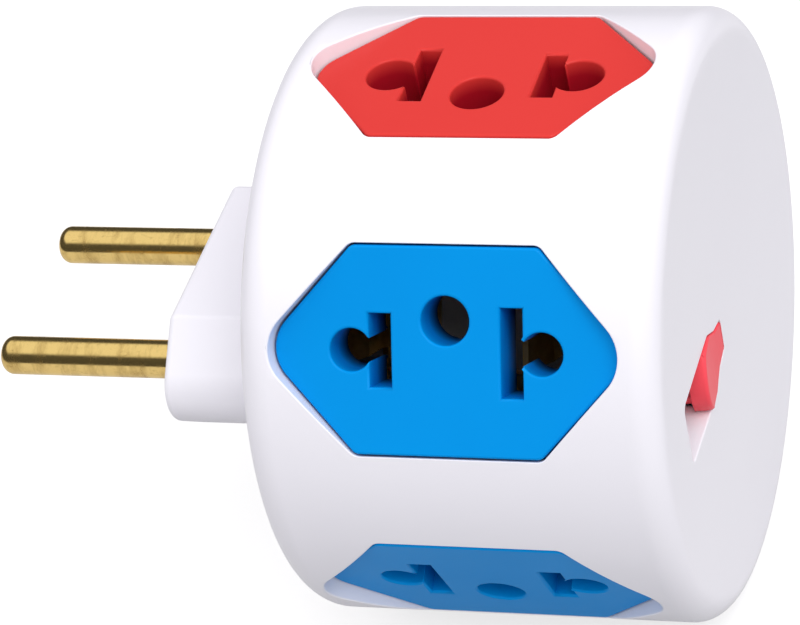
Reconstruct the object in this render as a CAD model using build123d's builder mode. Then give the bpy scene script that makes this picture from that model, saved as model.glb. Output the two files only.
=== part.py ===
from build123d import *
import os
from math import atan2, cos, radians, sin, tan

# Multi socket adapter: a white drum with six hexagonal sockets around its side, a two-pin
# plug on its rear face and a red rocker switch in its front face.
#
# Millimetres. The origin is the middle of the plug's seating face. +X runs along the drum's
# axis to the front face, the two pins stand side by side along Y, and +Z is up.

# Drum: a cup closed by a front cover
drum_radius = 30.86
face_sink = 1.74
flange_sink = 5.26
guide_sink = 7.46
hole_pitch = 19.0
hole_row_margin = 11.6
drum_length = hole_pitch + 2 * hole_row_margin
rear_round = 3.6
front_round = 2.8
rim_land = 0.35
shell_wall = 2.2
cavity_apothem = drum_radius - flange_sink
shell_gap = 0.1

# Plug base: an elongated hexagon behind the drum
base_height = 13.25
base_tip_length = 19.2
base_half_width = 6.94
base_flat_half = 11.1
base_tip_round = 4.0
base_corner_round = 1.0
base_edge_round = 0.8
base_floor = 2.4

# Plug pins, each riveted through its strap
pin_pitch = 19.0
pin_radius = 2.0
pin_reach = 20.2
pin_tip_round = 1.2
pin_root_radius = 2.3
pin_collar_radius = 3.3
pin_collar_height = 1.2
rivet_radius = 1.3
rivet_head_radius = 1.9
rivet_head_height = 0.6
press_gap = 0.03

# Socket faces: flat hexagons set in the drum's side
socket_count = 6
face_radius = drum_radius - face_sink
face_tip_length = 18.55
face_half_height = 10.15
face_flat_half = 9.3
face_tip_round = 4.0
face_corner_round = 1.0
face_wall = 1.8
face_gap = 0.2
flange_lip = 1.1
flange_thickness = 1.6

# Holes in a socket face
small_hole_radius = 2.1
large_hole_radius = 2.55
small_earth_radius = 2.4
large_earth_radius = 2.65
earth_offset = 3.0
slot_width = 2.2
slot_outer_edge = 7.65
short_slot = 7.2
long_slot = 8.7
guide_wall = 0.9
guide_inner_radius = drum_radius - guide_sink

# Contact rings: a hoop with a pair of spring leaves for each socket
ring_inner_radius = 7.0
ring_outer_radius = 10.0
leaf_thickness = 0.6
leaf_width = 5.0
leaf_root_gap = 2.6
leaf_clearance = 0.05
leaf_straight_end = 12.0
leaf_pinch_at = 17.0
leaf_tip_at = 22.6
leaf_flare = 1.0

# Post inside the housing, which carries the rings
post_gap = 0.05
post_root_radius = 5.6
post_collar_radius = 8.0
washer_radius = 8.4
washer_thickness = 0.5
post_screw_radius = 1.25
post_screw_length = 10.0
post_screw_head_radius = 2.4
post_screw_head_height = 1.5

# Straps, bent from brass strip
strap_thickness = 0.6
strap_half_width = 1.6
strap_offset = 12.6
strap_bend = 0.9
line_strap_side = 0.5

# Switch well in the front cover. Lengths run outward along -Y from the drum's axis.
switch_side = 1.2
well_inner_end = 4.4
well_neck = 7.3
well_shoulder = 9.7
well_outer_end = 20.6
well_tip_half = 1.75
well_neck_half = 2.4
well_wide_half = 3.7
well_outer_half = 3.5
well_corner_round = 0.8
well_wall = 1.0
well_depth = 5.0
well_floor_depth = 4.2
well_floor_start = 14.9

# Rocker, drawn level and tilted to its resting place
rocker_pivot_depth = 1.55
rocker_pivot_at = 10.6
rocker_tilt = 8.0
rocker_gap = 0.2
rocker_inner_rise = 0.95
rocker_dish_at = 9.3
rocker_dish_rise = 0.3
rocker_top_rise = 0.07
rocker_height = 3.9
rocker_end_at = 14.0
rocker_end_round = 4.84
rocker_cap_height = 1.9
rocker_cap_overhang = 0.8
rocker_edge_round = 0.4
trunnion_radius = 0.8
trunnion_length = 0.8
trunnion_gap = 0.05
leg_radius = 1.6
leg_length = 1.6
plunger_radius = 0.9
plunger_gap = 0.05
plunger_reach = 0.7
plunger_seat_depth = 1.8
spring_wire = 0.35
spring_turns = 4

# Moving contact, terminals and the switch base
lever_thickness = 0.5
lever_half_width = 1.7
lever_outer_arm = 3.6
lever_inner_arm = 3.2
lever_tilt = 9.0
lever_play = 0.1
pivot_play = 0.04
contact_play = 0.06
contact_radius = 0.8
contact_height = 0.25
terminal_half_width = 1.4
switch_floor = 0.5
switch_wall = 0.8
switch_half_width = 4.2
switch_inner_end = 3.5
switch_outer_end = 15.9
ear_offset = 6.9
ear_radius = 2.0
ear_thickness = 1.4
ear_at = 9.6
stake_radius = 0.8
stake_head_radius = 1.4
stake_head_height = 0.6
slot_gap = 0.15

# Cover tongues, which snap into the housing
tongue_width = 3.0
tongue_thickness = 1.5
tongue_length = 7.0
hook_width = 2.2
hook_depth = 0.4
hook_length = 1.4
hook_gap = 0.15

# Places along the axis that follow from the sizes above
front_x = base_height + drum_length
seam_x = front_x - front_round - rim_land
rear_inner_x = base_height + shell_wall
front_inner_x = front_x - shell_wall
cavity_radius = drum_radius - shell_wall
socket_mid_x = base_height + drum_length / 2
socket_step = 360 / socket_count
ring_half_width = leaf_root_gap + leaf_thickness
rear_ring_x = socket_mid_x - hole_pitch / 2
front_ring_x = socket_mid_x + hole_pitch / 2
post_end_x = front_ring_x + ring_half_width
rivet_x = base_floor + pin_collar_height
well_bottom_x = front_x - well_depth
switch_floor_x = post_end_x + washer_thickness
pivot_x = front_x - rocker_pivot_depth
rocker_top_x = front_x + rocker_top_rise
rocker_bottom_x = rocker_top_x - rocker_height
plunger_tip_x = rocker_bottom_x - leg_length - plunger_reach
lever_top_x = plunger_tip_x - lever_play
lever_bottom_x = lever_top_x - lever_thickness
rocker_axis = Axis((pivot_x, -rocker_pivot_at, 0), (0, 0, 1))
lever_axis = Axis((lever_bottom_x, -rocker_pivot_at, 0), (0, 0, 1))

# The sockets in turn from the top one towards -Y, and which of them are the larger red ones
socket_names = (
    "red_socket_top",
    "blue_socket_left_upper",
    "blue_socket_left_lower",
    "red_socket_bottom",
    "blue_socket_right_lower",
    "blue_socket_right_upper",
)


def is_large(index):
    """The red sockets take the thicker pins."""
    return socket_names[index].startswith("red")


def hexagon(tip_length, flat_half, half_height, tip_round, corner_round, grow=0.0):
    """Elongated hexagon along the sketch's X, offset by grow, with its corners rounded."""
    slope = atan2(half_height, tip_length - flat_half)
    tip = tip_length + grow / sin(slope)
    corner = flat_half + grow * tan(slope / 2)
    height = half_height + grow
    side = [(tip, 0), (corner, height), (-corner, height)]
    other_side = [(-along, -across) for along, across in side]
    with BuildSketch(mode=Mode.PRIVATE) as outline:
        Polygon(*side, *other_side, align=None)
        if corner_round + grow > 0:
            fillet(outline.vertices().sort_by(Axis.X)[1:-1], corner_round + grow)
        in_order = outline.vertices().sort_by(Axis.X)
        fillet([in_order[0], in_order[-1]], tip_round + grow)
    return outline.sketch


def face_outline(grow=0.0):
    """Outline of a socket face."""
    return hexagon(
        face_tip_length, face_flat_half, face_half_height, face_tip_round, face_corner_round, grow
    )


def base_outline(grow=0.0):
    """Outline of the plug base."""
    return hexagon(
        base_tip_length, base_flat_half, base_half_width, base_tip_round, base_corner_round, grow
    )


def side_plane(distance, angle=0.0):
    """Plane square to a socket's direction, its X along the drum's axis."""
    outward = (0, -sin(radians(angle)), cos(radians(angle)))
    return Plane(origin=(socket_mid_x, 0, 0), x_dir=(1, 0, 0), z_dir=outward).offset(distance)


def well_outline(grow=0.0):
    """Opening for the rocker, offset by grow: wide at its outer part, narrow at its inner end."""
    side = [
        (-well_inner_end, well_tip_half),
        (-well_neck, well_neck_half),
        (-well_shoulder, well_wide_half),
        (-well_outer_end, well_outer_half),
    ]
    other_side = [(along, -across) for along, across in reversed(side)]
    with BuildSketch(mode=Mode.PRIVATE) as outline:
        Polygon(*side, *other_side, align=None)
        if grow:
            offset(amount=grow, kind=Kind.INTERSECTION, mode=Mode.REPLACE)
        fillet(outline.vertices(), well_corner_round + grow)
    return outline.sketch


def switch_plane(x):
    """Plane square to the axis, with its origin on the switch's centre line."""
    return Plane(origin=(x, 0, switch_side), x_dir=(0, 1, 0), z_dir=(1, 0, 0))


# Rear housing: drum wall, rear wall, hollow plug base and the post inside, moulded in one
with BuildPart() as rear_housing:
    with BuildSketch(Plane.YZ.offset(base_height)):
        Circle(drum_radius)
    extrude(amount=seam_x - base_height)
    fillet(rear_housing.faces().sort_by(Axis.X)[0].edges(), rear_round)
    with BuildSketch(Plane.YZ):
        add(base_outline())
    extrude(amount=rear_inner_x)
    fillet(rear_housing.faces().sort_by(Axis.X)[0].edges(), base_edge_round)
    with BuildSketch(Plane.YZ.offset(base_floor)):
        add(base_outline(-shell_wall))
    extrude(amount=rear_inner_x - base_floor, mode=Mode.SUBTRACT)
    with BuildSketch(Plane.YZ.offset(rear_inner_x)):
        RegularPolygon(cavity_apothem, socket_count, major_radius=False)
        Circle(cavity_radius, mode=Mode.INTERSECT)
    extrude(amount=seam_x - rear_inner_x, mode=Mode.SUBTRACT)
    for index in range(socket_count):
        with BuildSketch(side_plane(cavity_apothem - shell_wall, index * socket_step)):
            add(face_outline(face_gap))
        extrude(amount=drum_radius, mode=Mode.SUBTRACT)
    with BuildSketch(Plane.YZ.offset(base_floor)):
        Circle(post_root_radius)
    extrude(amount=rear_inner_x - base_floor)
    with BuildSketch(Plane.YZ.offset(rear_inner_x)):
        Circle(post_collar_radius)
    extrude(amount=rear_ring_x - ring_half_width - rear_inner_x)
    with BuildSketch(Plane.YZ.offset(rear_inner_x)):
        Circle(ring_inner_radius - post_gap)
    extrude(amount=post_end_x - rear_inner_x)
    with BuildSketch(Plane.YZ.offset(post_end_x)):
        Circle(post_screw_radius + post_gap)
    extrude(amount=-post_screw_length, mode=Mode.SUBTRACT)
    with BuildSketch(Plane.YZ):
        with GridLocations(pin_pitch, 0, 2, 1):
            Circle(pin_root_radius + press_gap)
    extrude(amount=base_floor, mode=Mode.SUBTRACT)
    with BuildSketch(Plane.YZ.offset(seam_x - tongue_length)):
        with PolarLocations(cavity_radius, socket_count):
            Rectangle(2 * (hook_depth + hook_gap), hook_width + 2 * hook_gap)
    extrude(amount=hook_length + 2 * hook_gap, mode=Mode.SUBTRACT)
rear_housing.part.label = "rear_housing"


# Front cover: rounded disc with snap tongues and the rocker's well
with BuildPart() as front_cover:
    with BuildSketch(Plane.YZ.offset(seam_x)):
        Circle(drum_radius)
    extrude(amount=front_x - seam_x)
    fillet(front_cover.faces().sort_by(Axis.X)[-1].edges(), front_round)
    with BuildSketch(Plane.YZ.offset(seam_x)):
        Circle(cavity_radius - shell_gap)
    extrude(amount=front_inner_x - seam_x, mode=Mode.SUBTRACT)
    with BuildSketch(Plane.YZ.offset(seam_x - tongue_length + hook_gap)):
        with PolarLocations(cavity_radius - shell_gap - tongue_thickness / 2, socket_count):
            Rectangle(tongue_thickness, tongue_width)
        Circle(cavity_radius - shell_gap, mode=Mode.INTERSECT)
    extrude(until=Until.NEXT)
    with BuildSketch(Plane.YZ.offset(seam_x - tongue_length + hook_gap)):
        with PolarLocations(cavity_radius - shell_gap, socket_count):
            Rectangle(2 * hook_depth, hook_width)
    extrude(amount=hook_length)
    with BuildSketch(switch_plane(well_bottom_x)):
        add(well_outline(well_wall))
    extrude(amount=well_depth - shell_wall)
    with BuildSketch(switch_plane(well_bottom_x)):
        with Locations((-ear_at, ear_offset), (-ear_at, -ear_offset)):
            Circle(ear_radius)
    extrude(amount=well_depth - shell_wall)
    with BuildSketch(switch_plane(well_bottom_x - ear_thickness)):
        with Locations((-ear_at, ear_offset), (-ear_at, -ear_offset)):
            Circle(stake_radius)
    extrude(amount=ear_thickness)
    with BuildSketch(switch_plane(well_bottom_x - ear_thickness - stake_head_height)):
        with Locations((-ear_at, ear_offset), (-ear_at, -ear_offset)):
            Circle(stake_head_radius)
    extrude(amount=stake_head_height)
    with BuildSketch(switch_plane(front_x)):
        add(well_outline())
    extrude(amount=-well_floor_depth, mode=Mode.SUBTRACT)
    with BuildSketch(switch_plane(front_x)):
        add(well_outline())
        with Locations((-well_floor_start, 0)):
            Rectangle(
                2 * well_outer_end,
                4 * well_wide_half,
                align=(Align.MIN, Align.CENTER),
                mode=Mode.INTERSECT,
            )
    extrude(amount=-well_depth, mode=Mode.SUBTRACT)
    with BuildSketch(Plane.XY.offset(switch_side - well_wide_half - trunnion_length - trunnion_gap)):
        with Locations((pivot_x, -rocker_pivot_at)):
            Circle(trunnion_radius + trunnion_gap)
            Rectangle(
                rocker_pivot_depth + well_depth,
                2 * (trunnion_radius + trunnion_gap),
                align=(Align.MAX, Align.CENTER),
            )
    extrude(amount=2 * (well_wide_half + trunnion_length + trunnion_gap), mode=Mode.SUBTRACT)
front_cover.part.label = "front_cover"


def hole_outline(side, radius, slot_length, grow=0.0):
    """A pin hole and the slot that opens into it, on one side of the socket face."""
    slot_mid = slot_outer_edge - slot_width / 2
    with BuildSketch(mode=Mode.PRIVATE) as outline:
        with Locations((side * hole_pitch / 2, 0)):
            Circle(radius + grow)
        with Locations((side * slot_mid, 0)):
            Rectangle(slot_width + 2 * grow, slot_length + 2 * grow)
    return outline.sketch


def socket_insert(large, turn):
    """Hexagonal top-hat moulding, drawn facing +Z. turn is +1 or -1 and turns the pattern round."""
    pin_hole = large_hole_radius if large else small_hole_radius
    earth_hole = large_earth_radius if large else small_earth_radius
    slots = ((turn, long_slot), (-turn, short_slot))
    flange_outer = cavity_apothem
    with BuildPart() as insert:
        with BuildSketch(side_plane(flange_outer - flange_thickness)):
            add(face_outline(flange_lip))
        extrude(amount=flange_thickness)
        with BuildSketch(side_plane(flange_outer - flange_thickness)):
            add(face_outline())
        extrude(amount=face_radius - flange_outer + flange_thickness)
        with BuildSketch(side_plane(flange_outer - flange_thickness)):
            add(face_outline(-face_wall))
        extrude(amount=face_radius - face_wall - flange_outer + flange_thickness, mode=Mode.SUBTRACT)
        for side, length in slots:
            with BuildSketch(side_plane(guide_inner_radius)):
                add(hole_outline(side, pin_hole, length, guide_wall))
            extrude(amount=face_radius - face_wall - guide_inner_radius)
        with BuildSketch(side_plane(guide_inner_radius)):
            with Locations((0, turn * earth_offset)):
                Circle(earth_hole + guide_wall)
        extrude(amount=face_radius - face_wall - guide_inner_radius)
        for side, length in slots:
            with BuildSketch(side_plane(guide_inner_radius)):
                add(hole_outline(side, pin_hole, length))
            extrude(amount=face_radius - guide_inner_radius, mode=Mode.SUBTRACT)
        with BuildSketch(side_plane(guide_inner_radius)):
            with Locations((0, turn * earth_offset)):
                Circle(earth_hole)
        extrude(amount=face_radius - guide_inner_radius, mode=Mode.SUBTRACT)
    return insert.part


# Socket inserts: neighbours have their hole patterns turned round
sockets = []
for index, name in enumerate(socket_names):
    insert = socket_insert(is_large(index), -1 if index % 2 == 0 else 1)
    insert = insert.rotate(Axis.X, index * socket_step)
    insert.label = name
    sockets.append(insert)


def plug_pin(side):
    """Turned pin with a thick root, an inner collar and a riveted end."""
    with BuildPart() as pin:
        with BuildSketch(Plane.XY):
            with Locations((-pin_reach, 0)):
                Rectangle(pin_reach, pin_radius, align=Align.MIN)
            Rectangle(base_floor, pin_root_radius, align=Align.MIN)
            with Locations((base_floor, 0)):
                Rectangle(pin_collar_height, pin_collar_radius, align=Align.MIN)
            with Locations((rivet_x, 0)):
                Rectangle(strap_thickness, rivet_radius, align=Align.MIN)
            with Locations((rivet_x + strap_thickness, 0)):
                Rectangle(rivet_head_height, rivet_head_radius, align=Align.MIN)
        revolve(axis=Axis.X)
        fillet(pin.edges().group_by(Axis.X)[0], pin_tip_round)
    return pin.part.moved(Location((0, side * pin_pitch / 2, 0)))


line_pin = plug_pin(-1)
line_pin.label = "line_pin"
neutral_pin = plug_pin(1)
neutral_pin.label = "neutral_pin"


def spring_leaves(pin_hole):
    """Pair of leaves that grip a pin, drawn for the top socket about X = 0."""
    root = leaf_root_gap + leaf_thickness / 2
    pinch = pin_hole + leaf_clearance + leaf_thickness / 2
    leaf_plane = Plane(origin=(0, 0, 0), x_dir=(1, 0, 0), z_dir=(0, -1, 0))
    with BuildPart() as leaves:
        with BuildSketch(leaf_plane):
            with BuildLine():
                Polyline(
                    (root, ring_outer_radius - leaf_thickness),
                    (root, leaf_straight_end),
                    (pinch, leaf_pinch_at),
                    (pinch + leaf_flare, leaf_tip_at),
                )
            trace(line_width=leaf_thickness)
            mirror(about=Plane.YZ)
        extrude(amount=leaf_width / 2, both=True)
    return leaves.part


def contact_ring(x):
    """Brass hoop of U section with a pair of spring leaves for each socket."""
    leaves = [
        spring_leaves(large_hole_radius if is_large(index) else small_hole_radius)
        .moved(Location((x, 0, 0)))
        .rotate(Axis.X, index * socket_step)
        for index in range(socket_count)
    ]
    depth = ring_outer_radius - ring_inner_radius
    with BuildPart() as ring:
        with BuildSketch(Plane.XY):
            with Locations((x, ring_inner_radius)):
                Rectangle(2 * ring_half_width, depth, align=(Align.CENTER, Align.MIN))
            with Locations((x, ring_inner_radius + leaf_thickness)):
                Rectangle(
                    2 * leaf_root_gap, depth, align=(Align.CENTER, Align.MIN), mode=Mode.SUBTRACT
                )
        revolve(axis=Axis.X)
        add(leaves)
    return ring.part


rear_contact_ring = contact_ring(rear_ring_x)
rear_contact_ring.label = "rear_contact_ring"
front_contact_ring = contact_ring(front_ring_x)
front_contact_ring.label = "front_contact_ring"


# Spacer between the two rings
with BuildPart() as ring_spacer:
    with BuildSketch(Plane.YZ.offset(rear_ring_x + ring_half_width)):
        Circle(ring_outer_radius)
        Circle(ring_inner_radius, mode=Mode.SUBTRACT)
    extrude(amount=hole_pitch - 2 * ring_half_width)
ring_spacer.part.label = "ring_spacer"


# Washer that keeps the rings on the post
with BuildPart() as retaining_washer:
    with BuildSketch(Plane.YZ.offset(post_end_x)):
        Circle(washer_radius)
        Circle(post_screw_radius + post_gap, mode=Mode.SUBTRACT)
    extrude(amount=washer_thickness)
retaining_washer.part.label = "retaining_washer"


def cheese_screw(seat_x, direction, radius, length, head_radius, head_height):
    """Slotted screw along X. direction is the way its point faces, from the seat under its head."""
    slot = head_radius / 3
    with BuildPart() as screw:
        with BuildSketch(Plane.YZ.offset(seat_x)):
            Circle(radius)
        extrude(amount=direction * length)
        with BuildSketch(Plane.YZ.offset(seat_x)):
            Circle(head_radius)
        extrude(amount=-direction * head_height)
        with BuildSketch(Plane.YZ.offset(seat_x - direction * head_height)):
            Rectangle(2 * head_radius, slot)
        extrude(amount=direction * head_height / 2, mode=Mode.SUBTRACT)
    return screw.part


post_screw = cheese_screw(
    post_end_x + washer_thickness,
    -1,
    post_screw_radius,
    post_screw_length,
    post_screw_head_radius,
    post_screw_head_height,
)
post_screw.label = "post_screw"


def strip(points, half_width):
    """Brass strip of the strap's thickness, bent along points in the XY plane."""
    with BuildPart() as band:
        with BuildSketch(Plane.XY):
            with BuildLine():
                FilletPolyline(*points, radius=strap_bend)
            trace(line_width=strap_thickness)
        extrude(amount=half_width, both=True)
    return band.part


# Neutral strap: from its pin to the rear face of the rear ring
ring_tab_x = rear_ring_x - ring_half_width - strap_thickness / 2
pin_tab_x = rivet_x + strap_thickness / 2
neutral_band = strip(
    [
        (pin_tab_x, pin_pitch / 2 - rivet_head_radius),
        (pin_tab_x, strap_offset),
        (ring_tab_x, strap_offset),
        (ring_tab_x, post_collar_radius + slot_gap),
    ],
    strap_half_width,
)
with BuildPart() as neutral_strap:
    add(neutral_band)
    with BuildSketch(Plane.YZ.offset(rivet_x)):
        with Locations((pin_pitch / 2, 0)):
            Circle(rivet_head_radius + rivet_radius / 2)
    extrude(amount=strap_thickness)
    with BuildSketch(Plane.YZ.offset(rivet_x)):
        with Locations((pin_pitch / 2, 0)):
            Circle(rivet_radius + press_gap)
    extrude(amount=strap_thickness, mode=Mode.SUBTRACT)
neutral_strap.part.label = "neutral_strap"


# Line strap: from its pin past both rings to the fixed contact under the moving one
contact_drop = (lever_outer_arm - contact_radius) * tan(radians(lever_tilt))
fixed_contact_x = lever_bottom_x - contact_height - contact_drop - contact_play
contact_tab_x = fixed_contact_x - strap_thickness / 2
contact_tab_end = rocker_pivot_at + lever_outer_arm + contact_radius
line_band = strip(
    [
        (pin_tab_x, -pin_pitch / 2 + rivet_head_radius),
        (pin_tab_x, -strap_offset),
        (contact_tab_x, -strap_offset),
        (contact_tab_x, -contact_tab_end),
    ],
    strap_half_width,
)
with BuildPart() as line_strap:
    add(line_band.moved(Location((0, 0, line_strap_side))))
    with BuildSketch(Plane.YZ.offset(rivet_x)):
        with Locations((-pin_pitch / 2, 0)):
            Circle(rivet_head_radius + rivet_radius / 2)
    extrude(amount=strap_thickness)
    with BuildSketch(Plane.YZ.offset(rivet_x)):
        with Locations((-pin_pitch / 2, 0)):
            Circle(rivet_radius + press_gap)
    extrude(amount=strap_thickness, mode=Mode.SUBTRACT)
line_strap.part.label = "line_strap"


# Load terminal: a foot on the front ring and an upright that the moving contact rocks on
with BuildPart() as load_terminal:
    with BuildSketch(switch_plane(post_end_x)):
        with Locations((-rocker_pivot_at - washer_thickness / 2, 0)):
            Rectangle(
                rocker_pivot_at - washer_radius + washer_thickness / 2 - slot_gap,
                2 * terminal_half_width,
                align=(Align.MIN, Align.CENTER),
            )
    extrude(amount=washer_thickness)
    with BuildSketch(switch_plane(post_end_x)):
        with Locations((-rocker_pivot_at, 0)):
            Rectangle(washer_thickness, 2 * terminal_half_width)
    extrude(amount=lever_bottom_x - pivot_play - post_end_x)
load_terminal.part.label = "load_terminal"


# Switch base: a shallow tray under the well, staked to the cover by its ears
tray_mid = -(switch_inner_end + switch_outer_end) / 2
tray_length = switch_outer_end - switch_inner_end
with BuildPart() as switch_base:
    with BuildSketch(switch_plane(switch_floor_x)):
        with Locations((tray_mid, 0)):
            RectangleRounded(tray_length, 2 * switch_half_width, switch_wall)
    extrude(amount=well_bottom_x - switch_floor_x)
    with BuildSketch(switch_plane(well_bottom_x - ear_thickness)):
        with Locations((-ear_at, 0)):
            SlotCenterToCenter(2 * ear_offset, 2 * ear_radius, rotation=90)
    extrude(amount=ear_thickness)
    with BuildSketch(switch_plane(switch_floor_x + switch_floor)):
        with Locations((tray_mid, 0)):
            Rectangle(tray_length - 2 * switch_wall, 2 * (switch_half_width - switch_wall))
    extrude(amount=well_bottom_x - switch_floor_x - switch_floor, mode=Mode.SUBTRACT)
    with BuildSketch(switch_plane(well_bottom_x - ear_thickness)):
        with Locations((-ear_at, ear_offset), (-ear_at, -ear_offset)):
            Circle(stake_radius + post_gap)
    extrude(amount=ear_thickness, mode=Mode.SUBTRACT)
    with BuildSketch(switch_plane(switch_floor_x)):
        with Locations((-rocker_pivot_at, 0)):
            Rectangle(washer_thickness + 2 * slot_gap, 2 * (terminal_half_width + slot_gap))
    extrude(amount=switch_floor, mode=Mode.SUBTRACT)
    with BuildSketch(Plane.YZ.offset(switch_floor_x)):
        with Locations((-strap_offset + strap_thickness / 2 + slot_gap, line_strap_side)):
            Rectangle(
                contact_tab_end - strap_offset + strap_thickness / 2 + 2 * slot_gap,
                2 * (strap_half_width + slot_gap),
                align=(Align.MAX, Align.CENTER),
            )
    extrude(amount=switch_floor, mode=Mode.SUBTRACT)
switch_base.part.label = "switch_base"


def rocker_outline(end_radius):
    """Outline of the rocker, its outer end an arc of end_radius about one centre."""
    end_centre = rocker_end_round - rocker_end_at
    with BuildSketch(mode=Mode.PRIVATE) as outline:
        add(well_outline(-rocker_gap))
        with BuildSketch(mode=Mode.PRIVATE) as end_mask:
            with Locations((end_centre, 0)):
                Circle(end_radius)
                Rectangle(
                    2 * rocker_end_at, 2 * rocker_end_round, align=(Align.MIN, Align.CENTER)
                )
        add(end_mask.sketch, mode=Mode.INTERSECT)
    return outline.sketch


# Side view of the rocker, drawn level: a dished top and an inner end that swings clear
inner_reach = rocker_pivot_at - well_inner_end - rocker_gap
with BuildSketch(Plane.XY.offset(switch_side)) as rocker_side:
    with BuildLine():
        dish = ThreePointArc(
            (front_x + rocker_inner_rise, -well_inner_end),
            (front_x + rocker_dish_rise, -rocker_dish_at),
            (rocker_top_x, -rocker_end_at),
        )
        Polyline(
            dish @ 1,
            (rocker_top_x, -well_outer_end),
            (rocker_bottom_x, -well_outer_end),
            (rocker_bottom_x, -well_inner_end),
            dish @ 0,
        )
    make_face()
    with BuildSketch(Plane.XY.offset(switch_side), mode=Mode.INTERSECT):
        with Locations((pivot_x, -rocker_pivot_at)):
            Circle(inner_reach)
            Rectangle(4 * rocker_height, 2 * rocker_pivot_at, align=(Align.CENTER, Align.MAX))


# Rocker, drawn level: body with an overhanging cap, leg and trunnions
with BuildPart() as level_rocker:
    with BuildSketch(switch_plane(rocker_bottom_x)):
        add(rocker_outline(rocker_end_round - rocker_cap_overhang))
    extrude(amount=rocker_height + rocker_inner_rise)
    with BuildSketch(switch_plane(rocker_top_x - rocker_cap_height)):
        add(rocker_outline(rocker_end_round))
    extrude(amount=rocker_cap_height + rocker_inner_rise)
    extrude(rocker_side.sketch, 2 * well_wide_half, both=True, mode=Mode.INTERSECT)
    top_face = level_rocker.faces().filter_by(GeomType.CYLINDER).sort_by(SortBy.AREA)[-1]
    fillet(top_face.edges().sort_by(SortBy.LENGTH)[-1], rocker_edge_round)
    with BuildSketch(switch_plane(rocker_bottom_x)):
        with Locations((-rocker_pivot_at, 0)):
            Circle(leg_radius)
    extrude(amount=-leg_length)
    with BuildSketch(Plane.XY.offset(switch_side)):
        with Locations((pivot_x, -rocker_pivot_at)):
            Circle(trunnion_radius)
    extrude(amount=well_wide_half + trunnion_length, both=True)
    with BuildSketch(switch_plane(rocker_bottom_x - leg_length)):
        with Locations((-rocker_pivot_at, 0)):
            Circle(plunger_radius + plunger_gap)
    extrude(amount=leg_length + plunger_seat_depth, mode=Mode.SUBTRACT)
rocker = level_rocker.part.rotate(rocker_axis, rocker_tilt)
rocker.label = "rocker"


# Plunger: a round-nosed pin in the rocker's leg
plunger_length = plunger_reach + leg_length / 2
with BuildPart() as level_plunger:
    with BuildSketch(switch_plane(plunger_tip_x)):
        with Locations((-rocker_pivot_at, 0)):
            Circle(plunger_radius)
    extrude(amount=plunger_length)
    fillet(level_plunger.faces().sort_by(Axis.X)[0].edges(), plunger_radius / 2)
plunger = level_plunger.part.rotate(rocker_axis, rocker_tilt)
plunger.label = "plunger"


# Plunger spring: a coil between the plunger and the end of its bore
spring_start_x = plunger_tip_x + plunger_length + spring_wire / 2
spring_end_x = rocker_bottom_x + plunger_seat_depth - spring_wire / 2
spring_height = spring_end_x - spring_start_x
spring_radius = plunger_radius - spring_wire / 2
with BuildPart() as level_spring:
    with BuildLine() as coil:
        Helix(
            spring_height / spring_turns,
            spring_height,
            spring_radius,
            center=(spring_start_x, -rocker_pivot_at, switch_side),
            direction=(1, 0, 0),
        )
    with BuildSketch(coil.line ^ 0):
        Circle(spring_wire / 2)
    sweep(is_frenet=True)
plunger_spring = level_spring.part.rotate(rocker_axis, rocker_tilt)
plunger_spring.label = "plunger_spring"


# Moving contact: a strip that rocks on the load terminal, with a contact under its outer end
with BuildPart() as level_lever:
    with BuildSketch(switch_plane(lever_bottom_x)):
        with Locations((-rocker_pivot_at + lever_inner_arm, 0)):
            Rectangle(
                lever_inner_arm + lever_outer_arm,
                2 * lever_half_width,
                align=(Align.MAX, Align.CENTER),
            )
    extrude(amount=lever_thickness)
    with BuildSketch(switch_plane(lever_bottom_x)):
        with Locations((-rocker_pivot_at - lever_outer_arm + contact_radius, 0)):
            Circle(contact_radius)
    extrude(amount=-contact_height)
contact_lever = level_lever.part.rotate(lever_axis, -lever_tilt)
contact_lever.label = "contact_lever"


pieces = [
    rear_housing.part,
    front_cover.part,
    *sockets,
    line_pin,
    neutral_pin,
    rear_contact_ring,
    front_contact_ring,
    ring_spacer.part,
    retaining_washer.part,
    post_screw,
    neutral_strap.part,
    line_strap.part,
    load_terminal.part,
    switch_base.part,
    rocker,
    plunger,
    plunger_spring,
    contact_lever,
]
os.makedirs("parts", exist_ok=True)
for piece in pieces:
    export_step(piece, f"parts/{piece.label}.step")
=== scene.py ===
"""The looks of a multi socket adapter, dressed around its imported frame.

Metres throughout. The origin is the middle of the plug's seating face. +X runs along the drum's
axis to the front face, the two pins stand side by side along Y, and +Z is up.
"""

import logging
from dataclasses import dataclass
from enum import Enum
from math import cos, pi, radians, sin
from typing import Any, Callable, Mapping, Optional, Sequence

import bmesh
import bpy
from mathutils import Matrix, Vector


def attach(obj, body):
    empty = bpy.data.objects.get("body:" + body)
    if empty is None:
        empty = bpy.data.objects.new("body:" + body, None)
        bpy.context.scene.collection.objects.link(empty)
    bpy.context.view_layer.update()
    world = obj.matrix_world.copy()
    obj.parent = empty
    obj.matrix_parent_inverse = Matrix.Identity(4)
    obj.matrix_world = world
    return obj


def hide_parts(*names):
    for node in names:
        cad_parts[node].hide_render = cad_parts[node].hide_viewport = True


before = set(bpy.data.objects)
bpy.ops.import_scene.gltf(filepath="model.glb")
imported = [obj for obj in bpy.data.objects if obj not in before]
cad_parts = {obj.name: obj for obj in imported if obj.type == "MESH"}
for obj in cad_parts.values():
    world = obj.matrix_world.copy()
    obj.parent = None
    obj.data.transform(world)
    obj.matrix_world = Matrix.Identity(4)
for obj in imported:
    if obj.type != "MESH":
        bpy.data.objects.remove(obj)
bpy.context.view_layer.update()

logger = logging.getLogger("multi_socket_adapter")

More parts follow.
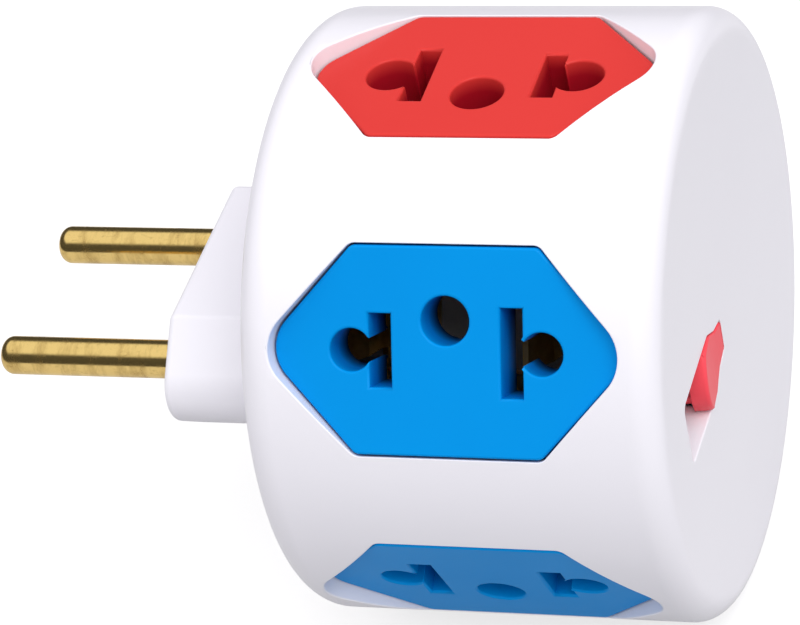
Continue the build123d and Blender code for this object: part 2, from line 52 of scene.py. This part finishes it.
MM = 0.001
MERGE_DISTANCE = 0.002 * MM
FLAT_ANGLE = radians(0.8)
DISH_ANGLE = radians(0.05)
SHARP_ANGLE = radians(32)
SEAM = 52.30 * MM
FRONT_FACE = 55.45 * MM
SOCKET_FACE = 29.12 * MM
SOCKET_DEPTH = 5.72 * MM

Colour = tuple[float, float, float]
Stops = tuple[tuple[float, float], ...]


class Body(Enum):
    """The rigid bodies that pieces ride on."""

    DRUM = "drum_body"
    ROCKER = "rocker_body"


class Pattern(Enum):
    """Kinds of procedural texture."""

    NOISE = "ShaderNodeTexNoise"
    WAVES = "ShaderNodeTexWave"


class Signal:
    """A node's output socket that can be used in arithmetic."""

    def __init__(self, tree: "ShaderTree", socket: bpy.types.NodeSocket) -> None:
        """Wraps one socket.

        Args:
            tree: The shader tree that the socket is in.
            socket: The output socket.
        """
        self.tree = tree
        self.socket = socket

    def _math(self, operation: str, *terms: Any) -> "Signal":
        """Adds one Math node.

        Args:
            operation: The Math node's operation.
            *terms: Signals or numbers, in the order of the node's sockets.

        Returns:
            The node's value.
        """
        return self.tree.add("ShaderNodeMath", {"operation": operation}, dict(enumerate(terms)))

    def __add__(self, other: Any) -> "Signal":
        """Returns the sum."""
        return self._math("ADD", self, other)

    __radd__ = __add__

    def __sub__(self, other: Any) -> "Signal":
        """Returns the difference."""
        return self._math("SUBTRACT", self, other)

    def __abs__(self) -> "Signal":
        """Returns the value without its sign."""
        return self._math("ABSOLUTE", self)

    def __mul__(self, other: Any) -> "Signal":
        """Returns the product."""
        return self._math("MULTIPLY", self, other)

    __rmul__ = __mul__

    def greater(self, other: Any) -> "Signal":
        """Returns the larger of the two."""
        return self._math("MAXIMUM", self, other)


class ShaderTree:
    """Builds the nodes of one material or world."""

    def __init__(self, owner: Any) -> None:
        """Empties the owner's tree.

        Args:
            owner: The material or world whose nodes are built.
        """
        owner.use_nodes = True
        self.nodes = owner.node_tree.nodes
        self.links = owner.node_tree.links
        self.nodes.clear()

    def add(
        self,
        kind: str,
        settings: Optional[Mapping[str, Any]] = None,
        inputs: Optional[Mapping[Any, Any]] = None,
        output: Any = 0,
    ) -> Signal:
        """Adds a node of any kind.

        Args:
            kind: The node's type.
            settings: Its properties, set first. The stops of a ramp are pairs of place and colour.
            inputs: Values or signals by the socket's name or number.
            output: Name or number of the output that is returned.

        Returns:
            The chosen output.
        """
        node = self.nodes.new(kind)
        for key, value in (settings or {}).items():
            if key == "stops":
                self._set_stops(node.color_ramp, value)
            else:
                setattr(node, key, value)
        for key, value in (inputs or {}).items():
            if isinstance(value, Signal):
                self.links.new(value.socket, node.inputs[key])
            else:
                node.inputs[key].default_value = value
        return Signal(self, node.outputs[output]) if len(node.outputs) else Signal(self, node.inputs[0])

    @staticmethod
    def _set_stops(ramp: bpy.types.ColorRamp, stops: Sequence[tuple[float, float]]) -> None:
        """Gives a ramp its grey stops.

        Args:
            ramp: The ramp.
            stops: Pairs of place and grey level.
        """
        while len(ramp.elements) < len(stops):
            ramp.elements.new(0.5)
        for element, (place, level) in zip(ramp.elements, stops):
            element.position = place
            element.color = (level, level, level, 1)

    def place(self, scale: Sequence[float] = (1, 1, 1), turn: Sequence[float] = (0, 0, 0)) -> Signal:
        """Returns object coordinates, scaled and turned.

        Args:
            scale: Factor along each axis.
            turn: Angles about the axes.
        """
        point = self.add("ShaderNodeTexCoord", output="Object")
        return self.add("ShaderNodeMapping", None, {"Vector": point, "Scale": scale, "Rotation": turn})

    def pattern(self, kind: Pattern, size: float, where: Optional[Signal] = None, **values: float) -> Signal:
        """Adds a texture whose features are about size across.

        Args:
            kind: The texture.
            size: Feature size in metres.
            where: Coordinates, or None for the object's own.
            **values: Other sockets of the texture, with underscores for spaces.

        Returns:
            Its grey value.
        """
        inputs: dict[Any, Any] = {"Vector": where or self.place(), "Scale": 1 / size}
        inputs.update({key.replace("_", " "): value for key, value in values.items()})
        return self.add(kind.value, None, inputs, "Fac")

    def ramp(self, value: Signal, *stops: tuple[float, float]) -> Signal:
        """Returns the value sent through grey stops."""
        return self.add("ShaderNodeValToRGB", {"stops": stops}, {"Fac": value})

    def mix(self, share: Any, first: Any, second: Any) -> Signal:
        """Mixes two colours.

        Args:
            share: How much of the second colour.
            first: Colour or signal.
            second: Colour or signal.

        Returns:
            The mixed colour.
        """
        first, second = (c if isinstance(c, Signal) else (*c, 1) for c in (first, second))
        return self.add("ShaderNodeMix", {"data_type": "RGBA"}, {0: share, 6: first, 7: second}, 2)

    def bump(self, height: Signal, depth: float) -> Signal:
        """Returns a normal that the height disturbs by depth, in metres."""
        return self.add("ShaderNodeBump", None, {"Height": height, "Distance": depth, "Strength": 1.0})


@dataclass(frozen=True)
class MouldedPlastic:
    """Injection-moulded plastic with a faint grain and slightly uneven colour. Where hole shade colours are
    given, painted shade darkens the colour deeper in the socket holes.
    """

    name: str
    colour: Colour
    deep_colour: Colour
    roughness: float = 0.34
    grain_depth: float = 0.0012 * MM
    grain_size: float = 0.3 * MM
    cloud_size: float = 16 * MM
    specular: float = 0.5
    # Painted shade in the socket holes: the colour goes to the first shade colour just inside the mouth, and
    # to the second near the bottom.
    hole_shade_colour: Optional[Colour] = None
    hole_bottom_shade_colour: Optional[Colour] = None
    hole_shade_stops: Stops = ((0.02, 0), (0.31, 1))
    hole_bottom_shade_stops: Stops = ((0.45, 0), (0.95, 1))

    def material(self) -> bpy.types.Material:
        """Builds the material.

        Returns:
            The finished material.
        """
        material = bpy.data.materials.new(self.name)
        tree = ShaderTree(material)
        clouds = tree.pattern(Pattern.NOISE, self.cloud_size, Detail=3.0, Roughness=0.5)
        clouds = tree.ramp(clouds, (0.35, 0), (0.68, 1))
        grain = tree.pattern(Pattern.NOISE, self.grain_size, Detail=2.0, Roughness=0.6)
        gloss = self.roughness - 0.02 + 0.04 * clouds
        colour = tree.mix(clouds * 0.4, self.colour, self.deep_colour)
        # Painted shade: darkens the colour with depth below the socket face, in place of the shade that
        # falls inside the holes.
        if self.hole_shade_colour:
            depth = self.hole_depth(tree)
            colour = tree.mix(tree.ramp(depth, *self.hole_shade_stops), colour, self.hole_shade_colour)
            far_shade_colour = self.hole_bottom_shade_colour or self.hole_shade_colour
            colour = tree.mix(tree.ramp(depth, *self.hole_bottom_shade_stops), colour, far_shade_colour)
        shader = tree.add(
            "ShaderNodeBsdfPrincipled",
            None,
            {
                "Base Color": colour,
                "Roughness": gloss,
                "IOR": 1.47,
                "Specular IOR Level": self.specular,
                "Normal": tree.bump(grain, self.grain_depth),
            },
        )
        tree.add("ShaderNodeOutputMaterial", None, {"Surface": shader})
        return material

    @staticmethod
    def hole_depth(tree: ShaderTree) -> Signal:
        """Returns how deep a point lies in a socket's holes, from 0 at the face to 1 at the far end.

        Args:
            tree: The material's tree.
        """
        point = tree.add("ShaderNodeTexCoord", output="Object")
        across = abs(tree.add("ShaderNodeSeparateXYZ", None, {0: point}, 1))
        height = abs(tree.add("ShaderNodeSeparateXYZ", None, {0: point}, 2))
        outward = height.greater(height * cos(radians(60)) + across * sin(radians(60)))
        return (outward * -1 + SOCKET_FACE) * (1 / SOCKET_DEPTH)


@dataclass(frozen=True)
class TurnedBrass:
    """Bar-turned brass with fine tool rings and smoky tarnish."""

    name: str
    colour: Colour = (0.92, 0.66, 0.24)
    tarnish: Colour = (0.40, 0.25, 0.07)
    roughness: float = 0.16
    ring_pitch: float = 0.09 * MM
    ring_depth: float = 0.0012 * MM

    def material(self) -> bpy.types.Material:
        """Builds the material.

        Returns:
            The finished material.
        """
        material = bpy.data.materials.new(self.name)
        tree = ShaderTree(material)
        along = tree.place(scale=(1, 0.35, 0.35))
        smoke = tree.pattern(Pattern.NOISE, 1.6 * MM, along, Detail=6.0, Roughness=0.68)
        smoke = tree.ramp(smoke, (0.46, 0), (0.70, 1))
        specks = tree.pattern(Pattern.NOISE, 0.45 * MM, tree.place(scale=(0.5, 1, 1)), Detail=3.0)
        specks = tree.ramp(specks, (0.60, 0), (0.72, 1))
        rings = tree.pattern(Pattern.WAVES, self.ring_pitch * 20, Distortion=0.6, Detail=1.0)
        stain = smoke * 0.60 + specks * 0.30
        shader = tree.add(
            "ShaderNodeBsdfPrincipled",
            None,
            {
                "Base Color": tree.mix(stain, self.colour, self.tarnish),
                "Metallic": 1.0,
                "Roughness": self.roughness + 0.14 * smoke + 0.08 * specks,
                "Normal": tree.bump(rings, self.ring_depth),
            },
        )
        tree.add("ShaderNodeOutputMaterial", None, {"Surface": shader})
        return material


@dataclass(frozen=True)
class StampedMetal:
    """Rolled strip, wire or plated steel with fine streaks."""

    name: str
    colour: Colour
    dull_colour: Colour
    roughness: float = 0.32
    streak_size: float = 0.5 * MM

    def material(self) -> bpy.types.Material:
        """Builds the material.

        Returns:
            The finished material.
        """
        material = bpy.data.materials.new(self.name)
        tree = ShaderTree(material)
        streaks = tree.pattern(Pattern.NOISE, self.streak_size, tree.place(scale=(0.12, 1, 1)), Detail=4.0)
        stain = tree.pattern(Pattern.NOISE, 4 * MM, Detail=4.0, Roughness=0.6)
        stain = tree.ramp(stain, (0.42, 0), (0.70, 1))
        shader = tree.add(
            "ShaderNodeBsdfPrincipled",
            None,
            {
                "Base Color": tree.mix(stain, self.colour, self.dull_colour),
                "Metallic": 1.0,
                "Roughness": self.roughness + 0.18 * streaks,
                "Normal": tree.bump(streaks, 0.002 * MM),
            },
        )
        tree.add("ShaderNodeOutputMaterial", None, {"Surface": shader})
        return material


class Finish(Enum):
    """The adapter's finishes. Each value is the record's material slot and how it looks."""

    SHELL = (
        "white_plastic",
        MouldedPlastic("white_shell", (0.878, 0.865, 0.912), (0.863, 0.85, 0.90), roughness=0.30),
    )
    BLUE_FACE = (
        "blue_plastic",
        MouldedPlastic(
            "blue_face",
            (0.0, 0.285, 0.74),
            (0.0, 0.26, 0.70),
            specular=0.06,
            # Painted shade inside the blue socket's holes, darkening to near black at the bottom.
            hole_shade_colour=(0.0, 0.21, 0.64),
            hole_bottom_shade_colour=(0.0, 0.012, 0.045),
        ),
    )
    RED_FACE = (
        "red_plastic",
        MouldedPlastic(
            "red_face",
            (0.68, 0.042, 0.036),
            (0.65, 0.035, 0.030),
            specular=0.16,
            # Painted shade inside the red socket's holes: a darker red deeper in.
            hole_shade_colour=(0.42, 0.007, 0.018),
        ),
    )
    ROCKER_KEY = (
        "rocker_plastic",
        MouldedPlastic("rocker_key", (0.95, 0.085, 0.110), (0.92, 0.078, 0.100), specular=0.12),
    )
    PIN = ("pin_brass", TurnedBrass("turned_brass"))
    STRIP = ("contact_brass", StampedMetal("strip_brass", (0.80, 0.58, 0.25), (0.62, 0.42, 0.17)))
    PLATED = ("screw_steel", StampedMetal("plated_steel", (0.66, 0.66, 0.67), (0.52, 0.52, 0.54)))
    WIRE = ("spring_steel", StampedMetal("spring_wire", (0.55, 0.55, 0.56), (0.42, 0.42, 0.44), 0.25))
    GREY_INSULATOR = (
        "grey_insulator",
        MouldedPlastic("grey_insulator", (0.32, 0.32, 0.33), (0.26, 0.26, 0.27), 0.55),
    )

    @property
    def slot(self) -> str:
        """Returns the record's material slot."""
        return self.value[0]

    @property
    def material(self) -> bpy.types.Material:
        """Returns the finish's material, built when it is first asked for."""
        look = self.value[1]
        return bpy.data.materials.get(look.name) or look.material()


@dataclass
class Workshop:
    """Turns meshes into finished pieces of the object."""

    body: Body

    def dress(self, piece: bpy.types.Object, finish: Finish) -> None:
        """Gives a piece or a carried-over node its finish.

        Args:
            piece: The mesh object.
            finish: Its finish.
        """
        piece.data.materials.clear()
        piece.data.materials.append(finish.material)

    def keep(self, node: str, finish: Finish) -> None:
        """Dresses a CAD node whose shape stays as it is.

        Args:
            node: The node's name.
            finish: Its finish.
        """
        self.dress(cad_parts[node], finish)
        logger.info("kept %s", node)

    def piece(self, shape: bmesh.types.BMesh, name: str, finish: Finish, node: str) -> bpy.types.Object:
        """Makes an object of a finished shape, which stands for a CAD node.

        Args:
            shape: The shape, which is freed.
            name: The piece's name.
            finish: Its finish.
            node: The CAD node that it replaces.

        Returns:
            The object.
        """
        mesh = bpy.data.meshes.new(name)
        for face in shape.faces:
            face.smooth = True
        shape.to_mesh(mesh)
        shape.free()
        mesh.set_sharp_from_angle(angle=SHARP_ANGLE)
        piece = bpy.data.objects.new(name, mesh)
        bpy.context.scene.collection.objects.link(piece)
        self.dress(piece, finish)
        even = piece.modifiers.new("even_shading", "WEIGHTED_NORMAL")
        even.keep_sharp = True
        even.weight = 100
        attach(piece, self.body.value)
        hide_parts(node)
        logger.info("made %s for %s, %d faces", name, node, len(mesh.polygons))
        return piece

    @staticmethod
    def merged_copy(node: str, flat_angle: float = FLAT_ANGLE) -> bmesh.types.BMesh:
        """Copies a CAD node with its loose triangles merged and its flat faces whole.

        Args:
            node: The node's name.
            flat_angle: Triangles that meet at less than this angle become one face.

        Returns:
            The copy.
        """
        shape = bmesh.new()
        shape.from_mesh(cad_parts[node].data)
        bmesh.ops.remove_doubles(shape, verts=shape.verts, dist=MERGE_DISTANCE)
        bmesh.ops.dissolve_limit(
            shape, angle_limit=flat_angle, verts=shape.verts, edges=shape.edges, delimit={"NORMAL"}
        )
        return shape

    @staticmethod
    def break_edges(
        shape: bmesh.types.BMesh,
        edge_round: float,
        steps: int = 3,
        chosen: Callable[[Vector], bool] = lambda middle: True,
    ) -> None:
        """Rounds sharp outer edges, as a mould leaves them.

        Args:
            shape: The shape to round.
            edge_round: Radius of the rounding.
            steps: Facets across it.
            chosen: Says of an edge's middle whether the edge is rounded.
        """
        sharp = [
            edge
            for edge in shape.edges
            if edge.is_manifold
            and edge.is_convex
            and edge.calc_face_angle(0) > SHARP_ANGLE
            and chosen((edge.verts[0].co + edge.verts[1].co) / 2)
        ]
        bmesh.ops.bevel(
            shape,
            geom=sharp,
            offset=edge_round,
            offset_type="OFFSET",
            affect="EDGES",
            segments=steps,
            profile=0.5,
            clamp_overlap=False,
            material=-1,
        )


@dataclass
class DrumShell(Workshop):
    """The white drum: the rear moulding with the plug base, and the front cover."""

    body: Body = Body.DRUM
    opening_round: float = 0.18 * MM

    def build(self) -> None:
        """Builds both mouldings."""
        for node, name in (("rear_housing", "drum_moulding"), ("front_cover", "front_moulding")):
            shape = self.merged_copy(node)
            self.break_edges(shape, self.opening_round, chosen=self.off_seam)
            self.piece(shape, name, Finish.SHELL, node)

    @staticmethod
    def off_seam(middle: Vector) -> bool:
        """Returns whether an edge is clear of the seam, where the mouldings meet closed."""
        return abs(middle.x - SEAM) > 0.02 * MM


@dataclass
class SocketFaces(Workshop):
    """The six hexagonal socket mouldings set in the drum's side."""

    body: Body = Body.DRUM
    edge_round: float = 0.28 * MM

    def build(self) -> None:
        """Builds each socket's moulding."""
        for node in sorted(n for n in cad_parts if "_socket_" in n):
            finish = Finish.RED_FACE if node.startswith("red") else Finish.BLUE_FACE
            shape = self.merged_copy(node)
            self.break_edges(shape, self.edge_round)
            self.piece(shape, node.replace("_socket_", "_face_"), finish, node)


@dataclass
class PlugPins(Workshop):
    """The two turned pins. The half-section's sizes are in mm."""

    body: Body = Body.DRUM
    pitch: float = 19 * MM
    steps: int = 96
    edge_round: float = 0.12 * MM
    tip: float = -20.2
    radius: float = 2.0
    tip_round: float = 1.2
    root: tuple[tuple[float, float], ...] = (
        (0, 2.0),
        (0, 2.3),
        (2.4, 2.3),
        (2.4, 3.3),
        (3.6, 3.3),
        (3.6, 1.3),
        (4.2, 1.3),
        (4.2, 1.9),
        (4.8, 1.9),
        (4.8, 0),
    )

    def build(self) -> None:
        """Turns both pins."""
        for node, side in (("line_pin", -1), ("neutral_pin", 1)):
            self.piece(self.turned(side), node.replace("_pin", "_plug_pin"), Finish.PIN, node)

    def turned(self, side: int) -> bmesh.types.BMesh:
        """Spins one pin's profile about its axis.

        Args:
            side: -1 or +1, the pin's place along Y.

        Returns:
            The pin's shape.
        """
        middle = Vector((0, side * self.pitch / 2, 0))
        shape = bmesh.new()
        points = [shape.verts.new(middle + Vector((x * MM, 0, r * MM))) for x, r in self.outline()]
        edges = [shape.edges.new(pair) for pair in zip(points, points[1:])]
        bmesh.ops.spin(
            shape,
            geom=[*points, *edges],
            cent=middle,
            axis=(1, 0, 0),
            angle=2 * pi,
            steps=self.steps,
            use_merge=True,
        )
        bmesh.ops.remove_doubles(shape, verts=shape.verts, dist=MERGE_DISTANCE)
        bmesh.ops.recalc_face_normals(shape, faces=shape.faces)
        self.break_edges(shape, self.edge_round, 2)
        return shape

    def outline(self) -> list[tuple[float, float]]:
        """Returns the half-section of a pin in mm, from its rounded tip to its riveted end."""
        facets = 10
        bends = [pi / 2 * step / facets for step in range(facets + 1)]
        nose = [
            (self.tip + self.tip_round * (1 - cos(bend)), self.radius - self.tip_round * (1 - sin(bend)))
            for bend in bends
        ]
        return [(self.tip, 0), *nose, *self.root]


@dataclass
class RockerSwitch(Workshop):
    """The red key, with its plunger and spring."""

    body: Body = Body.ROCKER
    top_round: float = 0.24 * MM
    edge_round: float = 0.12 * MM
    lowest_top_edge: float = FRONT_FACE - 0.5 * MM
    highest_side_edge: float = FRONT_FACE - 0.9 * MM

    def build(self) -> None:
        """Builds the key and dresses what rides in its leg."""
        shape = self.merged_copy("rocker", DISH_ANGLE)
        self.break_edges(shape, self.top_round, 4, lambda middle: middle.x > self.lowest_top_edge)
        self.break_edges(shape, self.edge_round, 2, lambda middle: middle.x < self.highest_side_edge)
        self.piece(shape, "rocker_key", Finish.ROCKER_KEY, "rocker")
        self.keep("plunger", Finish.PLATED)
        self.keep("plunger_spring", Finish.WIRE)


@dataclass
class ContactWorks(Workshop):
    """What the drum holds: contact rings on their post, straps and the switch's metalwork."""

    body: Body = Body.DRUM

    def build(self) -> None:
        """Dresses each inner piece."""
        finishes = {
            Finish.STRIP: (
                "rear_contact_ring",
                "front_contact_ring",
                "neutral_strap",
                "line_strap",
                "load_terminal",
                "contact_lever",
            ),
            Finish.PLATED: ("retaining_washer", "post_screw"),
            Finish.GREY_INSULATOR: ("ring_spacer", "switch_base"),
        }
        for finish, nodes in finishes.items():
            for node in nodes:
                self.keep(node, finish)


@dataclass
class Studio:
    """Camera, floor, sky and lamp."""

    eye: Vector = Vector((0.1508, -0.31607, 0.24972))
    target: Vector = Vector((0.02044, -0.00032, -0.00045))
    head_up: Vector = Vector((-0.02234, 0.61515, 0.78807))
    lens: float = 185.54
    sensor: float = 36.0
    floor_height: float = -31.0 * MM
    floor_size: float = 0.2
    floor_cells: int = 8
    floor_grey: float = 0.42
    floor_glow: float = 0.68
    mirrored_glow: float = 0.25
    sky_colour: Colour = (0.975, 0.965, 1)
    sky_strength: float = 1.36
    sky_by_direction: Stops = ((0.0, 1.0), (0.5, 0.43), (1.0, 1.0))
    sky_by_height: Stops = ((0.44, 0.06), (0.56, 1.0))
    metal_sky: Stops = ((0.0, 0.58), (0.24, 0.58), (0.32, 0.06), (0.80, 0.07), (0.88, 0.9))
    lamp_power: float = 2.4
    lamp_size: float = 0.5
    lamp_place: Vector = Vector((0.27, -0.30, 0.58))

    def build(self) -> None:
        """Sets up the studio."""
        bpy.context.scene.view_settings.view_transform = "Standard"
        self.camera()
        self.floor()
        self.sky()
        self.lamp()

    def camera(self) -> None:
        """Adds the camera at the photograph's viewing angle."""
        back = (self.eye - self.target).normalized()
        right = self.head_up.cross(back).normalized()
        up = back.cross(right)
        lens = bpy.data.cameras.new("camera")
        lens.lens = self.lens
        lens.sensor_width = self.sensor
        lens.clip_start = 0.01
        camera = bpy.data.objects.new("camera", lens)
        turn = Matrix((right, up, back)).transposed().to_4x4()
        camera.matrix_world = Matrix.Translation(self.eye) @ turn
        bpy.context.scene.collection.objects.link(camera)
        bpy.context.scene.camera = camera

    def floor(self) -> None:
        """Adds the pale floor, which keeps the object's shadow."""
        shape = bmesh.new()
        bmesh.ops.create_grid(
            shape, x_segments=self.floor_cells, y_segments=self.floor_cells, size=self.floor_size
        )
        bmesh.ops.translate(shape, verts=shape.verts, vec=(0, 0, self.floor_height))
        mesh = bpy.data.meshes.new("floor")
        shape.to_mesh(mesh)
        shape.free()
        floor = bpy.data.objects.new("floor", mesh)
        bpy.context.scene.collection.objects.link(floor)
        material = bpy.data.materials.new("floor_paper")
        tree = ShaderTree(material)
        grey = (self.floor_grey, self.floor_grey, self.floor_grey, 1)
        paper = tree.add("ShaderNodeBsdfDiffuse", None, {"Color": grey})
        seen = tree.add("ShaderNodeLightPath", output="Is Camera Ray")
        mirrored = tree.add("ShaderNodeLightPath", output="Is Glossy Ray")
        strength = seen * self.floor_glow + mirrored * self.mirrored_glow
        glow = tree.add("ShaderNodeEmission", None, {"Color": (1, 1, 1, 1), "Strength": strength})
        lit = tree.add("ShaderNodeAddShader", None, {0: paper, 1: glow})
        tree.add("ShaderNodeOutputMaterial", None, {"Surface": lit})
        mesh.materials.append(material)

    def sky(self) -> None:
        """Adds an even sky that looks white, and that metal sees with a darker band round it."""
        world = bpy.data.worlds.new("sky")
        bpy.context.scene.world = world
        tree = ShaderTree(world)
        direction = tree.add("ShaderNodeTexCoord", output="Generated")
        height = tree.add("ShaderNodeSeparateXYZ", None, {0: direction}, 2)
        forward = tree.add("ShaderNodeSeparateXYZ", None, {0: direction}, 0)
        rise = height * 0.5 + 0.5
        band = tree.ramp(rise, *self.metal_sky)
        front = tree.ramp(forward * 0.5 + 0.5, *self.sky_by_direction)
        fill = tree.ramp(rise, *self.sky_by_height) * front * self.sky_strength
        even = tree.add("ShaderNodeBackground", None, {"Color": (*self.sky_colour, 1), "Strength": fill})
        studio = tree.add("ShaderNodeBackground", None, {"Color": band, "Strength": 1.0})
        white = tree.add("ShaderNodeBackground", None, {"Color": (1, 1, 1, 1), "Strength": 1.0})
        glossy = tree.add("ShaderNodeLightPath", output="Is Glossy Ray")
        seen = tree.add("ShaderNodeLightPath", output="Is Camera Ray")
        shader = tree.add("ShaderNodeMixShader", None, {0: glossy, 1: even, 2: studio})
        shader = tree.add("ShaderNodeMixShader", None, {0: seen, 1: shader, 2: white})
        tree.add("ShaderNodeOutputWorld", None, {"Surface": shader})

    def lamp(self) -> None:
        """Adds one large soft lamp above and in front of the drum's left side."""
        lamp = bpy.data.lights.new("soft_lamp", "AREA")
        lamp.shape = "DISK"
        lamp.size = self.lamp_size
        lamp.energy = self.lamp_power
        holder = bpy.data.objects.new("soft_lamp", lamp)
        aim = (self.lamp_place - self.target).to_track_quat("Z", "Y")
        holder.matrix_world = Matrix.Translation(self.lamp_place) @ aim.to_matrix().to_4x4()
        bpy.context.scene.collection.objects.link(holder)


def main() -> None:
    """Builds the pieces and the studio in order."""
    logging.basicConfig(level=logging.INFO, format="%(name)s: %(message)s")
    for part in (DrumShell(), SocketFaces(), PlugPins(), RockerSwitch(), ContactWorks(), Studio()):
        part.build()


if __name__ == "__main__":
    main()
